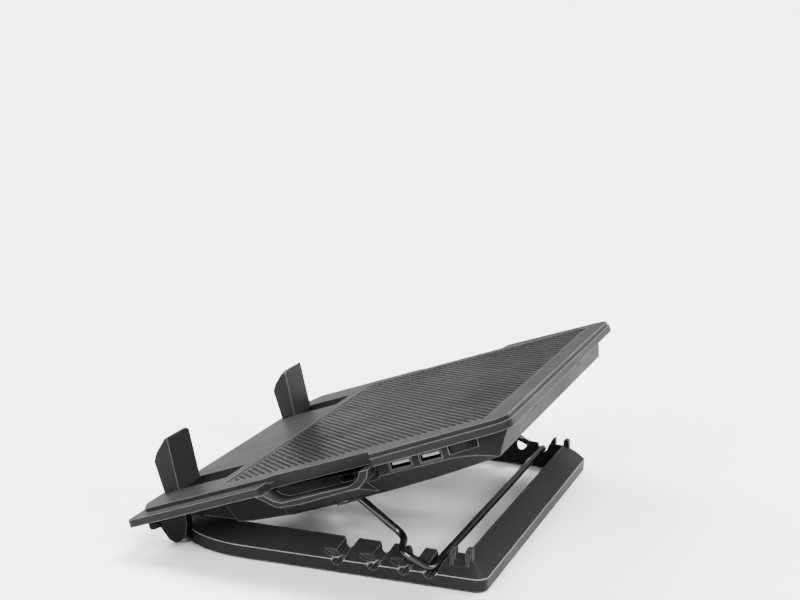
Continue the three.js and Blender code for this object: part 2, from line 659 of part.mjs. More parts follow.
function bail() {
  const left = BAIL_POINTS.map(({ x, y, z }) => new THREE.Vector3(-x, y, z)).reverse();
  return bentRod([...BAIL_POINTS, ...left], 7.5, BAIL_RADIUS, 10, 118);
}
place(bailSite, 'bail', bail(), wireSteel);

// ---------------------------------------------------------------- laptop stops
// Drawn in the deck's u and w standing up, then moved so its pivot is at the group's centre
function stop() {
  const side = outline([
    [5, -5.6, 3.5], [11, -5.6, 3.5], [14.3, 2, 2], [16.2, 26], [17.3, 38.6, 0.8], [15.6, 38.6, 1.2],
    [6.5, 30.6, 5], [3.1, 25.4, 3], [3.3, 1.5, 3],
  ]);
  const front = outline([
    [STOP.inner, -7], [STOP.outer, -7], [STOP.outer, 39.5, 1], [STOP.inner + 7, 39.5], [STOP.inner, 36.6, 1],
  ]);
  const plan = outline([
    [STOP.inner, 0, 0.8], [STOP.outer, 0, 2.5], [STOP.outer, 20, 2.5], [STOP.inner, 20, 0.8],
  ]);
  const solid = common(prismX(side, STOP.inner, STOP.outer, 4), prismY(front, 0, 20, 3),
    prismZ(plan, -9, 45, 3));
  const core = outline([[6.2, -9], [11.6, -9], [12.4, 14], [12.4, 27], [9.6, 28], [6.2, 25]]);
  const knuckleGap = prismX(core, STOP.inner + 6, STOP.outer - 6);
  const bore = rodX(1.5 + CLEARANCE, STOP.inner - 5, STOP.outer + 5, STOP.u, STOP.w, 12);
  return cut(solid, knuckleGap, bore).translate(0, -STOP.u, -STOP.w);
}

SIDES.forEach(([name, side]) => {
  const flap = side > 0 ? stop() : mirrorX(stop());
  place(deck, `stop_${name}`, flap, satinPlastic).position.set(0, STOP.u, STOP.w);
  const pin = rodX(1.5, STOP_SLOT.inner - 4.5, STOP_SLOT.outer + 4.5, STOP.u, STOP.w, 12);
  place(deck, `stop_pin_${name}`, side > 0 ? pin : mirrorX(pin), bareSteel);
});

export default root;
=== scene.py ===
"""Finishes for a tilting laptop cooling pad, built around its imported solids."""

import json
import math

import bmesh
import bpy
from bpy.props import FloatProperty, FloatVectorProperty, PointerProperty
from mathutils import Matrix, Vector


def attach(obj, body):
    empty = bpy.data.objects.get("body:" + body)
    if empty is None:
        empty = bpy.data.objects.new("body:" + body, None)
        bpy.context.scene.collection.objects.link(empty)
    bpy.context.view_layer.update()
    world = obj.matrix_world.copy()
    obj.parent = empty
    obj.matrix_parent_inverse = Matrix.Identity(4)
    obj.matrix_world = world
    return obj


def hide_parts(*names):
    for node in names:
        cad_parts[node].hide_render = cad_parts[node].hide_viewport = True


bl_info = {
    "name": "Laptop Cooling Pad",
    "version": (1, 0, 0),
    "blender": (4, 5, 0),
    "location": "View3D > Sidebar > Cooling Pad",
    "description": "Builds the visible pieces, finishes and studio of a laptop cooling pad",
    "category": "Object",
}

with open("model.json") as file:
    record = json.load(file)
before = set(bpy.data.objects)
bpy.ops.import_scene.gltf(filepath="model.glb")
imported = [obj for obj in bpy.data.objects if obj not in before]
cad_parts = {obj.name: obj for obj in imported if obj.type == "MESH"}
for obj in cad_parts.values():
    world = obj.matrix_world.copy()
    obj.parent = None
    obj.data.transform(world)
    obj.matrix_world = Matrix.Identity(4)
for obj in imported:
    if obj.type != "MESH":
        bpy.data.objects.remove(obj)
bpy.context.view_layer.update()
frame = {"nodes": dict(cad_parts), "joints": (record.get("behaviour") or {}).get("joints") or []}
NODES = frame["nodes"]
MM = 0.001

# The deck leans back from level, and its own lengths start this far from its hinge.
DECK_LEAN = math.radians(20.95)
DECK_FROM_HINGE = (0, -13.44 * MM, 21.38 * MM)

# Edges of the mesh top on the deck, its height over the flange and its plain rim.
MESH_LEFT, MESH_RIGHT = -157.7 * MM, 157.7 * MM
MESH_FRONT, MESH_BACK = 58.3 * MM, 243.7 * MM
MESH_HEIGHT = 2.0 * MM
MESH_RIM = 3 * MM
HOLE_STRETCH = (1.25, 0.8, 1.0)
WHOLE_HOLE_SHARE = 0.5
TOUCHING = 1e-6
CORNER_STEP = 1e5

# Right half of the wire in millimetres, from its end in the belly round to the crossbar.
WIRE_ARM = (
    (149.5, 0, 0), (133, 0, 0), (136, 44.2, -6.4), (158, 48.8, -7.2), (158, 72, -7), (146, 72.6, 0),
)
WIRE_PIVOT = (0, 134 * MM, -26 * MM)
WIRE_TURN = math.radians(-45.27)
WIRE_SMOOTH_ANGLE = math.radians(40)
BEND_STEPS = 12
BEND_SHARE = 2.05

# Solids are merged, and corners sharper than the bevel angle are rounded.
MERGE_DISTANCE = 0.02 * MM
FLAT_ANGLE = math.radians(0.6)
BEVEL_ANGLE = math.radians(34)

# Finishes: noise is read between two levels, and moves tone and gloss by these amounts.
NOISE_LOW, NOISE_HIGH = 0.25, 0.75
# Lighter edges stand for both rubbed wear and a painted highlight; these set their patches and
# strength.
WEAR_AND_HIGHLIGHT_PATCH_SCALE = 90
WEAR_AND_HIGHLIGHT_STRENGTH = 30.0
DUST_SHARE = 0.45
DARKER, LIGHTER = 0.82, 1.14
GLOSS_SPREAD = 0.07
GRAIN_BUMP = 0.35
# Rubbing makes plastic glossier. Where a finish is given one height, its lighter edges are kept
# there and little is left away from it; on the frame this is a painted highlight line along the
# rail's top crease.
RUBBED_GLOSS = 0.12
RUBBED_AND_HIGHLIGHT_BAND = 0.9 * MM
RUBBED_AND_HIGHLIGHT_ELSEWHERE = 0.14
STREAK_STRETCH = (900.0, 60.0, 60.0)
STREAK_BUMP = 0.15

# Each light's place in metres, which gives its direction, and its share of the strength.
LIGHTS = (
    ("rear_right_light", (0.8, 1.5, 1.2), 0.12),
    ("high_left_light", (-0.9, 0.2, 1.6), 0.42),
    ("front_right_light", (1.3, -0.42, 0.9), 0.22),
    ("front_left_light", (-0.6, -1.3, 1.3), 0.25),
)
FLOOR_REACH = 60.0
FLOOR_DROP = 0.05 * MM
CAMERA_PLACE = (1.2403, 0.3645, 0.391)
CAMERA_DOWN = math.radians(10.607)
CAMERA_ROUND = math.radians(16.313)
CAMERA_ROLL = math.radians(3.015)
SENSOR_WIDTH = 36.0


# Settings
class CoolpadStageSettings(bpy.types.PropertyGroup):
    """Floor, light and camera."""

    floor_colour: FloatVectorProperty(
        name="Floor colour", description="Colour of the studio floor", subtype="COLOR",
        size=3, min=0, max=1, default=(0.9, 0.9, 0.9),
    )
    surround: FloatProperty(
        name="Surround", description="Light given by the plain white surround",
        default=0.35, min=0,
    )
    backdrop: FloatProperty(
        name="Backdrop", description="Brightness of the surround seen behind the floor",
        default=4.7, min=0,
    )
    light: FloatProperty(
        name="Light", description="Strength shared out between the soft lights",
        default=24.0, min=0,
    )
    softness: FloatProperty(
        name="Softness", description="How wide each light looks from the pad",
        default=math.radians(32), min=0, max=math.pi, subtype="ANGLE",
    )
    lens: FloatProperty(
        name="Lens", description="Focal length of the camera, in millimetres",
        default=83.92, min=1,
    )


class CoolpadPlasticSettings(bpy.types.PropertyGroup):
    """Moulded plastic of the frame, deck, belly and stops."""

    colour: FloatVectorProperty(
        name="Plastic colour", description="Colour of the moulded plastic", subtype="COLOR",
        size=3, min=0, max=1, default=(0.0125, 0.0127, 0.0132),
    )
    # Lighter edge colour: rubbed wear, and also a painted highlight along the moulded edges.
    wear_and_highlight_colour: FloatVectorProperty(
        name="Worn colour", description="Colour where edges are rubbed", subtype="COLOR",
        size=3, min=0, max=1, default=(0.13, 0.13, 0.134),
    )
    roughness: FloatProperty(
        name="Roughness", description="Roughness of the satin plastic", default=0.48, min=0, max=1,
    )
    edge: FloatProperty(
        name="Edge rounding", description="Radius left on moulded edges",
        default=0.45 * MM, min=0, unit="LENGTH",
    )


class CoolpadMeshSettings(bpy.types.PropertyGroup):
    """Perforated metal top."""

    pitch: FloatProperty(
        name="Hole pitch", description="Distance from hole to hole", default=4.2 * MM, min=1 * MM,
        unit="LENGTH",
    )
    bar: FloatProperty(
        name="Bar width", description="Half the metal left between two holes", default=0.62 * MM,
        min=0.1 * MM, unit="LENGTH",
    )
    thickness: FloatProperty(
        name="Thickness", description="Thickness of the sheet", default=0.55 * MM, min=0.1 * MM,
        unit="LENGTH",
    )


class CoolpadWireSettings(bpy.types.PropertyGroup):
    """Bent wire bail."""

    radius: FloatProperty(
        name="Wire radius", description="Radius of the wire", default=2.58 * MM, min=0.5 * MM,
        unit="LENGTH",
    )
    bend: FloatProperty(
        name="Bend", description="Length of wire taken up by each side of a bend",
        default=7.5 * MM, min=1 * MM, unit="LENGTH",
    )


# Shader node helpers
def add(tree, kind, **values):
    """A node of one kind with its attributes set."""
    node = tree.nodes.new(kind)
    for key, value in values.items():
        setattr(node, key, value)
    return node


def link(tree, source, target):
    """Joins an output to an input."""
    tree.links.new(source, target)


def number(tree, operation, first, second):
    """A Math node fed by sockets or plain numbers."""
    node = add(tree, "ShaderNodeMath", operation=operation)
    for socket, value in zip(node.inputs, (first, second)):
        if isinstance(value, (int, float)):
            socket.default_value = value
        else:
            link(tree, value, socket)
    return node.outputs[0]


def group_sockets(group, ins, outs):
    """Gives a node group its named inputs, with their defaults, and its outputs."""
    for name, kind, value in ins:
        socket = group.interface.new_socket(name, in_out="INPUT", socket_type=kind)
        socket.default_value = value
    for name, kind in outs:
        group.interface.new_socket(name, in_out="OUTPUT", socket_type=kind)


def edge_wear_and_highlight_group():
    """Marks rounded edges, broken up by a patchy noise, for rubbed wear and a painted edge
    highlight.
    """
    group = bpy.data.node_groups.new("edge_wear_and_highlight", "ShaderNodeTree")
    group_sockets(
        group,
        [("Radius", "NodeSocketFloat", 0.8 * MM), ("Amount", "NodeSocketFloat", 0.5)],
        [("Mask", "NodeSocketFloat")],
    )
    given = add(group, "NodeGroupInput")
    result = add(group, "NodeGroupOutput")
    place = add(group, "ShaderNodeTexCoord")
    rounded = add(group, "ShaderNodeBevel", samples=4)
    link(group, given.outputs["Radius"], rounded.inputs["Radius"])
    flat = add(group, "ShaderNodeNewGeometry")
    facing = add(group, "ShaderNodeVectorMath", operation="DOT_PRODUCT")
    link(group, rounded.outputs["Normal"], facing.inputs[0])
    link(group, flat.outputs["Normal"], facing.inputs[1])
    turned = number(group, "SUBTRACT", 1.0, facing.outputs["Value"])
    patches = add(group, "ShaderNodeTexNoise")
    patches.inputs["Scale"].default_value = WEAR_AND_HIGHLIGHT_PATCH_SCALE
    patches.inputs["Detail"].default_value = 4
    link(group, place.outputs["Object"], patches.inputs["Vector"])
    strength = number(group, "MULTIPLY", turned, WEAR_AND_HIGHLIGHT_STRENGTH)
    broken = number(group, "MULTIPLY", strength, patches.outputs["Fac"])
    mask = add(group, "ShaderNodeClamp")
    amount = number(group, "MULTIPLY", broken, given.outputs["Amount"])
    link(group, amount, mask.inputs["Value"])
    link(group, mask.outputs["Result"], result.inputs["Mask"])
    return group


def grain_group():
    """Fine spark-eroded grain with slow variation for tone and gloss."""
    group = bpy.data.node_groups.new("moulded_grain", "ShaderNodeTree")
    group_sockets(
        group,
        [("Scale", "NodeSocketFloat", 1500.0), ("Patch scale", "NodeSocketFloat", 14.0)],
        [("Height", "NodeSocketFloat"), ("Patches", "NodeSocketFloat")],
    )
    given = add(group, "NodeGroupInput")
    result = add(group, "NodeGroupOutput")
    place = add(group, "ShaderNodeTexCoord")
    pits = add(group, "ShaderNodeTexVoronoi", feature="SMOOTH_F1")
    link(group, place.outputs["Object"], pits.inputs["Vector"])
    link(group, given.outputs["Scale"], pits.inputs["Scale"])
    dust = add(group, "ShaderNodeTexNoise")
    dust.inputs["Detail"].default_value = 5
    link(group, place.outputs["Object"], dust.inputs["Vector"])
    coarser = number(group, "MULTIPLY", given.outputs["Scale"], DUST_SHARE)
    link(group, coarser, dust.inputs["Scale"])
    height = number(group, "ADD", pits.outputs["Distance"], dust.outputs["Fac"])
    link(group, height, result.inputs["Height"])
    slow = add(group, "ShaderNodeTexNoise")
    slow.inputs["Detail"].default_value = 6
    slow.inputs["Roughness"].default_value = 0.6
    link(group, place.outputs["Object"], slow.inputs["Vector"])
    link(group, given.outputs["Patch scale"], slow.inputs["Scale"])
    link(group, slow.outputs["Fac"], result.inputs["Patches"])
    return group


def effect(name, maker):
    """A shared node group, made the first time it is asked for."""
    return bpy.data.node_groups.get(name) or maker()


def remap(tree, value, low, high):
    """A noise value spread between two numbers."""
    node = add(tree, "ShaderNodeMapRange")
    node.inputs["From Min"].default_value = NOISE_LOW
    node.inputs["From Max"].default_value = NOISE_HIGH
    node.inputs["To Min"].default_value = low
    node.inputs["To Max"].default_value = high
    link(tree, value, node.inputs["Value"])
    return node.outputs["Result"]


def mixed(tree, factor, first, second):
    """A colour between two, by a factor socket. Inputs 6 and 7 and output 2 are the colours."""
    node = add(tree, "ShaderNodeMix", data_type="RGBA")
    link(tree, factor, node.inputs["Factor"])
    for socket, value in ((node.inputs[6], first), (node.inputs[7], second)):
        if isinstance(value, tuple):
            socket.default_value = (*value, 1.0)
        else:
            link(tree, value, socket)
    return node.outputs[2]


def only_near(tree, mask, height):
    """A mask kept whole near one height and made faint elsewhere."""
    split = add(tree, "ShaderNodeSeparateXYZ")
    link(tree, add(tree, "ShaderNodeTexCoord").outputs["Object"], split.inputs["Vector"])
    near = add(tree, "ShaderNodeMath", operation="COMPARE")
    link(tree, split.outputs["Z"], near.inputs[0])
    near.inputs[1].default_value = height
    near.inputs[2].default_value = RUBBED_AND_HIGHLIGHT_BAND
    kept = add(tree, "ShaderNodeMath", operation="MULTIPLY_ADD")
    link(tree, near.outputs[0], kept.inputs[0])
    kept.inputs[1].default_value = 1.0 - RUBBED_AND_HIGHLIGHT_ELSEWHERE
    kept.inputs[2].default_value = RUBBED_AND_HIGHLIGHT_ELSEWHERE
    return number(tree, "MULTIPLY", mask, kept.outputs[0])


def moulded(name, colour, wear_and_highlight, roughness, grain=1500.0, depth=0.05, wear_and_highlight_amount=0.4, sheen=0.05,
            rubbed_and_highlight_height=None):
    """A finish with fine grain, uneven gloss, and lighter rounded edges that are both rubbed wear
    and a painted edge highlight.
    """
    material = bpy.data.materials.get(name)
    if material:
        return material
    material = bpy.data.materials.new(name)
    material.use_nodes = True
    tree = material.node_tree
    shader = tree.nodes["Principled BSDF"]
    shader.inputs["IOR"].default_value = 1.5
    shader.inputs["Specular IOR Level"].default_value = sheen
    surface = add(tree, "ShaderNodeGroup", node_tree=effect("moulded_grain", grain_group))
    surface.inputs["Scale"].default_value = grain
    edges = add(tree, "ShaderNodeGroup", node_tree=effect("edge_wear_and_highlight", edge_wear_and_highlight_group))
    edges.inputs["Amount"].default_value = wear_and_highlight_amount
    darker = tuple(channel * DARKER for channel in colour)
    lighter = tuple(channel * LIGHTER for channel in colour)
    patches = remap(tree, surface.outputs["Patches"], 0.0, 1.0)
    tone = mixed(tree, patches, darker, lighter)
    mask = edges.outputs["Mask"]
    if rubbed_and_highlight_height is not None:
        mask = only_near(tree, mask, rubbed_and_highlight_height)
    # Edge colour laid by the mask: rubbed wear and a painted edge highlight.
    link(tree, mixed(tree, mask, tone, wear_and_highlight), shader.inputs["Base Color"])
    smoothest, roughest = roughness - GLOSS_SPREAD, roughness + GLOSS_SPREAD
    gloss = remap(tree, surface.outputs["Patches"], smoothest, roughest)
    rubbed = number(tree, "MULTIPLY", mask, RUBBED_GLOSS)
    link(tree, number(tree, "SUBTRACT", gloss, rubbed), shader.inputs["Roughness"])
    bump = add(tree, "ShaderNodeBump")
    bump.inputs["Strength"].default_value = GRAIN_BUMP
    bump.inputs["Distance"].default_value = depth * MM
    link(tree, surface.outputs["Height"], bump.inputs["Height"])
    link(tree, bump.outputs["Normal"], shader.inputs["Normal"])
    return material


def brushed(name, colour, roughness):
    """Plated or drawn metal with fine streaks along one way."""
    material = bpy.data.materials.get(name)
    if material:
        return material
    material = bpy.data.materials.new(name)
    material.use_nodes = True
    tree = material.node_tree
    shader = tree.nodes["Principled BSDF"]
    shader.inputs["Metallic"].default_value = 1.0
    place = add(tree, "ShaderNodeTexCoord")
    stretch = add(tree, "ShaderNodeMapping")
    stretch.inputs["Scale"].default_value = STREAK_STRETCH
    link(tree, place.outputs["Object"], stretch.inputs["Vector"])
    streaks = add(tree, "ShaderNodeTexNoise")
    streaks.inputs["Scale"].default_value = 3.0
    streaks.inputs["Detail"].default_value = 6
    link(tree, stretch.outputs["Vector"], streaks.inputs["Vector"])
    edges = add(tree, "ShaderNodeGroup", node_tree=effect("edge_wear_and_highlight", edge_wear_and_highlight_group))
    edges.inputs["Amount"].default_value = 0.1
    dull = tuple(channel * 0.72 for channel in colour)
    tone = mixed(tree, remap(tree, streaks.outputs["Fac"], 0.0, 1.0), dull, colour)
    bright = tuple(min(channel * 1.25, 1.0) for channel in colour)
    link(tree, mixed(tree, edges.outputs["Mask"], tone, bright), shader.inputs["Base Color"])
    gloss = remap(tree, streaks.outputs["Fac"], roughness - 0.06, roughness + 0.1)
    link(tree, gloss, shader.inputs["Roughness"])
    bump = add(tree, "ShaderNodeBump")
    bump.inputs["Strength"].default_value = STREAK_BUMP
    bump.inputs["Distance"].default_value = 0.02 * MM
    link(tree, streaks.outputs["Fac"], bump.inputs["Height"])
    link(tree, bump.outputs["Normal"], shader.inputs["Normal"])
    return material


# Finishes
def plastic_values():
    return bpy.context.scene.coolpad_plastic


def satin_plastic():
    values = plastic_values()
    return moulded("satin_finish", tuple(values.colour), tuple(values.wear_and_highlight_colour),
                   values.roughness)


def frame_plastic():
    values = plastic_values()
    # Painted highlight: the edge colour is brightened 3.2 times and kept near 9 mm, the crease at
    # the top of the rail's outer face, so it paints a bright line along it.
    crease_highlight = tuple(min(channel * 3.2, 1.0) for channel in values.wear_and_highlight_colour)
    return moulded("frame_finish", tuple(values.colour), crease_highlight, values.roughness,
                   wear_and_highlight_amount=0.9, rubbed_and_highlight_height=9 * MM)


def shell_plastic():
    values = plastic_values()
    colour = tuple(channel * 0.75 for channel in values.colour)
    return moulded("shell_finish", colour, tuple(values.wear_and_highlight_colour), values.roughness + 0.08,
                   depth=0.07)


def fan_plastic():
    return moulded("fan_finish", (0.005, 0.005, 0.0055), (0.016, 0.016, 0.016), 0.4, wear_and_highlight_amount=0.1)


def dial_plastic():
    return moulded("dial_finish", (0.005, 0.005, 0.005), (0.03, 0.03, 0.03), 0.3, wear_and_highlight_amount=0.12)


def soft_rubber():
    return moulded("soft_rubber", (0.005, 0.005, 0.005), (0.012, 0.012, 0.012), 0.78,
                   grain=900.0, depth=0.1, wear_and_highlight_amount=0.1)


def black_wire():
    return moulded("black_wire", (0.005, 0.005, 0.0055), (0.03, 0.03, 0.03), 0.19,
                   grain=700.0, depth=0.02, wear_and_highlight_amount=0.1, sheen=0.6)


def coated_mesh():
    return moulded("coated_mesh", (0.006, 0.006, 0.0065), (0.03, 0.03, 0.031), 0.42,
                   grain=1800.0, depth=0.03, wear_and_highlight_amount=0.1)


def green_board():
    return moulded("green_board", (0.003, 0.02, 0.009), (0.012, 0.05, 0.022), 0.35,
                   grain=600.0, wear_and_highlight_amount=0.08)


def white_nylon():
    return moulded("white_nylon", (0.22, 0.216, 0.2), (0.3, 0.29, 0.275), 0.45,
                   grain=1200.0, wear_and_highlight_amount=0.08)


def plated_steel():
    return brushed("plated_steel", (0.62, 0.62, 0.64), 0.26)


def dark_nickel():
    return brushed("dark_nickel", (0.05, 0.05, 0.053), 0.38)


# Piece helpers
def link_piece(name, mesh, body, material):
    """An object made from a mesh, with its finish, riding on its body."""
    piece = bpy.data.objects.new(name, mesh)
    bpy.context.scene.collection.objects.link(piece)
    mesh.materials.clear()
    mesh.materials.append(material)
    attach(piece, body)
    return piece


def refinished(node, name, body, material, edge=None, smooth=28.0):
    """A copy of a solid with smooth curves and softly rounded edges, shown in its place."""
    mesh = bpy.data.meshes.new(name)
    work = bmesh.new()
    work.from_mesh(NODES[node].data)
    bmesh.ops.remove_doubles(work, verts=work.verts, dist=MERGE_DISTANCE)
    bmesh.ops.dissolve_limit(work, angle_limit=FLAT_ANGLE, verts=work.verts, edges=work.edges)
    work.to_mesh(mesh)
    work.free()
    mesh.shade_smooth()
    mesh.set_sharp_from_angle(angle=math.radians(smooth))
    piece = link_piece(name, mesh, body, material)
    width = plastic_values().edge if edge is None else edge
    if width:
        rounding = piece.modifiers.new("rounding", "BEVEL")
        rounding.width = width
        rounding.segments = 2
        rounding.limit_method = "ANGLE"
        rounding.angle_limit = BEVEL_ANGLE
        rounding.harden_normals = True
    weighting = piece.modifiers.new("weighting", "WEIGHTED_NORMAL")
    weighting.keep_sharp = True
    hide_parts(node)
    return piece


def repaint(names, material):
    """Gives solids that keep their own shape a finish."""
    for name in names:
        data = NODES[name].data
        data.materials.clear()
        data.materials.append(material)


def deck_frame():
    """Turns the deck's own lengths (right, back, up from the top of its flange) into place."""
    hinge = next(joint for joint in frame["joints"] if joint["name"] == "deck_tilt")
    back = Matrix.Rotation(DECK_LEAN, 4, "X")
    return Matrix.Translation(hinge["pos_m"]) @ back @ Matrix.Translation(DECK_FROM_HINGE)


# Operators
class COOLPAD_OT_stage(bpy.types.Operator):
    """Floor, white surround, soft lights and camera"""

    bl_idname = "coolpad.stage"
    bl_label = "Studio"

    def execute(self, context):
        values = context.scene.coolpad_stage
        work = bmesh.new()
        bmesh.ops.create_grid(work, x_segments=1, y_segments=1, size=FLOOR_REACH)
        bmesh.ops.translate(work, verts=work.verts, vec=(0.0, 0.0, -FLOOR_DROP))
        mesh = bpy.data.meshes.new("studio_floor")
        work.to_mesh(mesh)
        work.free()
        floor = bpy.data.objects.new("studio_floor", mesh)
        context.scene.collection.objects.link(floor)
        finish = bpy.data.materials.new("studio_floor")
        finish.use_nodes = True
        shader = finish.node_tree.nodes["Principled BSDF"]
        shader.inputs["Base Color"].default_value = (*values.floor_colour, 1.0)
        shader.inputs["Roughness"].default_value = 0.9
        mesh.materials.append(finish)
        world = bpy.data.worlds.new("surround")
        world.use_nodes = True
        surround = world.node_tree.nodes["Background"]
        surround.inputs["Color"].default_value = (1.0, 1.0, 1.0, 1.0)
        seen = add(world.node_tree, "ShaderNodeLightPath")
        brightness = add(world.node_tree, "ShaderNodeMapRange")
        brightness.inputs["To Min"].default_value = values.surround
        brightness.inputs["To Max"].default_value = values.backdrop
        link(world.node_tree, seen.outputs["Is Camera Ray"], brightness.inputs["Value"])
        link(world.node_tree, brightness.outputs["Result"], surround.inputs["Strength"])
        context.scene.world = world
        for name, place, share in LIGHTS:
            self.soft_light(context, name, place, share * values.light)
        self.camera(context, values.lens)
        return {"FINISHED"}

    def soft_light(self, context, name, place, strength):
        data = bpy.data.lights.new(name, "SUN")
        data.angle = context.scene.coolpad_stage.softness
        data.energy = strength
        lamp = bpy.data.objects.new(name, data)
        lamp.location = place
        lamp.rotation_euler = (-lamp.location).to_track_quat("-Z", "Y").to_euler()
        context.scene.collection.objects.link(lamp)

    def camera(self, context, lens):
        ahead = Vector((
            -math.cos(CAMERA_ROUND) * math.cos(CAMERA_DOWN),
            -math.sin(CAMERA_ROUND) * math.cos(CAMERA_DOWN),
            -math.sin(CAMERA_DOWN),
        ))
        level = ahead.cross(Vector((0, 0, 1))).normalized()
        upright = level.cross(ahead)
        right = level * math.cos(CAMERA_ROLL) + upright * math.sin(CAMERA_ROLL)
        up = upright * math.cos(CAMERA_ROLL) - level * math.sin(CAMERA_ROLL)
        data = bpy.data.cameras.new("camera")
        data.lens = lens
        data.sensor_width = SENSOR_WIDTH
        view = bpy.data.objects.new("camera", data)
        turn = Matrix((right, up, -ahead)).transposed().to_4x4()
        view.matrix_world = Matrix.Translation(CAMERA_PLACE) @ turn
        context.scene.collection.objects.link(view)
        context.scene.camera = view


class COOLPAD_OT_base(bpy.types.Operator):
    """Base frame, feet and hinge pins"""

    bl_idname = "coolpad.base"
    bl_label = "Base"

    def execute(self, context):
        refinished("base_frame", "base_frame_skin", "base", frame_plastic(),
                   edge=0.6 * MM)
        repaint([name for name in NODES if name.startswith("foot_")], soft_rubber())
        repaint(["hinge_pin_right", "hinge_pin_left"], plated_steel())
        return {"FINISHED"}


class COOLPAD_OT_deck(bpy.types.Operator):
    """Deck tray, belly, keepers and bumpers"""

    bl_idname = "coolpad.deck"
    bl_label = "Deck"

    def execute(self, context):
        refinished("deck_tray", "deck_tray_skin", "deck", satin_plastic())
        refinished("belly", "belly_skin", "deck", shell_plastic())
        for side in ("right", "left"):
            name = f"bail_keeper_{side}"
            refinished(name, f"{name}_skin", "deck", shell_plastic())
        for name in [name for name in NODES if name.startswith("bumper_")]:
            refinished(name, f"{name}_skin", "deck", soft_rubber(), edge=0.3 * MM,
                       smooth=40.0)
        return {"FINISHED"}


class COOLPAD_OT_mesh_top(bpy.types.Operator):
    """Perforated metal sheet let into the deck"""

    bl_idname = "coolpad.mesh_top"
    bl_label = "Mesh top"

    def execute(self, context):
        values = context.scene.coolpad_mesh
        place = deck_frame()
        wide, deep = MESH_RIGHT - MESH_LEFT, MESH_BACK - MESH_FRONT
        middle = Vector(((MESH_LEFT + MESH_RIGHT) / 2, (MESH_FRONT + MESH_BACK) / 2, MESH_HEIGHT))
        reach = math.hypot(wide, deep) / 2
        count = int(2 * reach / values.pitch) + 2
        size = count * values.pitch / 2
        work = bmesh.new()
        bmesh.ops.create_grid(work, x_segments=count, y_segments=count, size=size)
        diagonal = Matrix.Rotation(math.radians(45), 3, "Z")
        bmesh.ops.rotate(work, verts=work.verts, matrix=diagonal)
        bmesh.ops.scale(work, verts=work.verts, vec=HOLE_STRETCH)
        half_x, half_y = wide / 2 - MESH_RIM, deep / 2 - MESH_RIM
        for point, facing in (
            ((half_x, 0, 0), (1, 0, 0)), ((-half_x, 0, 0), (-1, 0, 0)),
            ((0, half_y, 0), (0, 1, 0)), ((0, -half_y, 0), (0, -1, 0)),
        ):
            bmesh.ops.bisect_plane(
                work, geom=[*work.verts, *work.edges, *work.faces], plane_co=point,
                plane_no=facing, clear_outer=True,
            )
        smallest = WHOLE_HOLE_SHARE * values.pitch ** 2
        whole = [face for face in work.faces if face.calc_area() > smallest]
        inner = bmesh.ops.inset_individual(
            work, faces=whole, thickness=values.bar, use_even_offset=True,
        )
        kept = set(inner["faces"])
        holes = [face for face in whole if face.is_valid and face not in kept]
        bmesh.ops.delete(work, geom=holes, context="FACES")
        outer_edges = [
            edge for edge in work.edges if edge.is_boundary and self.on_rim(edge, half_x, half_y)
        ]
        widened = bmesh.ops.extrude_edge_only(work, edges=outer_edges)["geom"]
        for vert in {item for item in widened if isinstance(item, bmesh.types.BMVert)}:
            if abs(abs(vert.co.x) - half_x) < TOUCHING:
                vert.co.x += math.copysign(MESH_RIM, vert.co.x)
            if abs(abs(vert.co.y) - half_y) < TOUCHING:
                vert.co.y += math.copysign(MESH_RIM, vert.co.y)
        # Extruding leaves the rim's edges and faces in no fixed order, so they get one.
        work.verts.index_update()
        for parts in (work.edges, work.faces):
            parts.sort(key=self.corner_order)
        bmesh.ops.recalc_face_normals(work, faces=work.faces)
        bmesh.ops.translate(work, verts=work.verts, vec=middle)
        bmesh.ops.transform(work, matrix=place, verts=work.verts)
        mesh = bpy.data.meshes.new("mesh_top")
        work.to_mesh(mesh)
        work.free()
        piece = link_piece("mesh_top", mesh, "deck", coated_mesh())
        solid = piece.modifiers.new("sheet", "SOLIDIFY")
        solid.thickness = values.thickness
        solid.offset = 1.0
        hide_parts("mesh_panel")
        return {"FINISHED"}

    def corner_order(self, part):
        """A number that puts edges and faces in the order of their corners."""
        corners = [vert.index for vert in part.verts]
        return (min(corners) * CORNER_STEP + max(corners)) * CORNER_STEP + sum(corners)

    def on_rim(self, edge, half_x, half_y):
        """Whether an edge lies along the outside of the trimmed sheet."""
        ends = [vert.co for vert in edge.verts]
        return any(
            all(abs(abs(end[axis]) - half) < TOUCHING for end in ends)
            for axis, half in ((0, half_x), (1, half_y))
        )


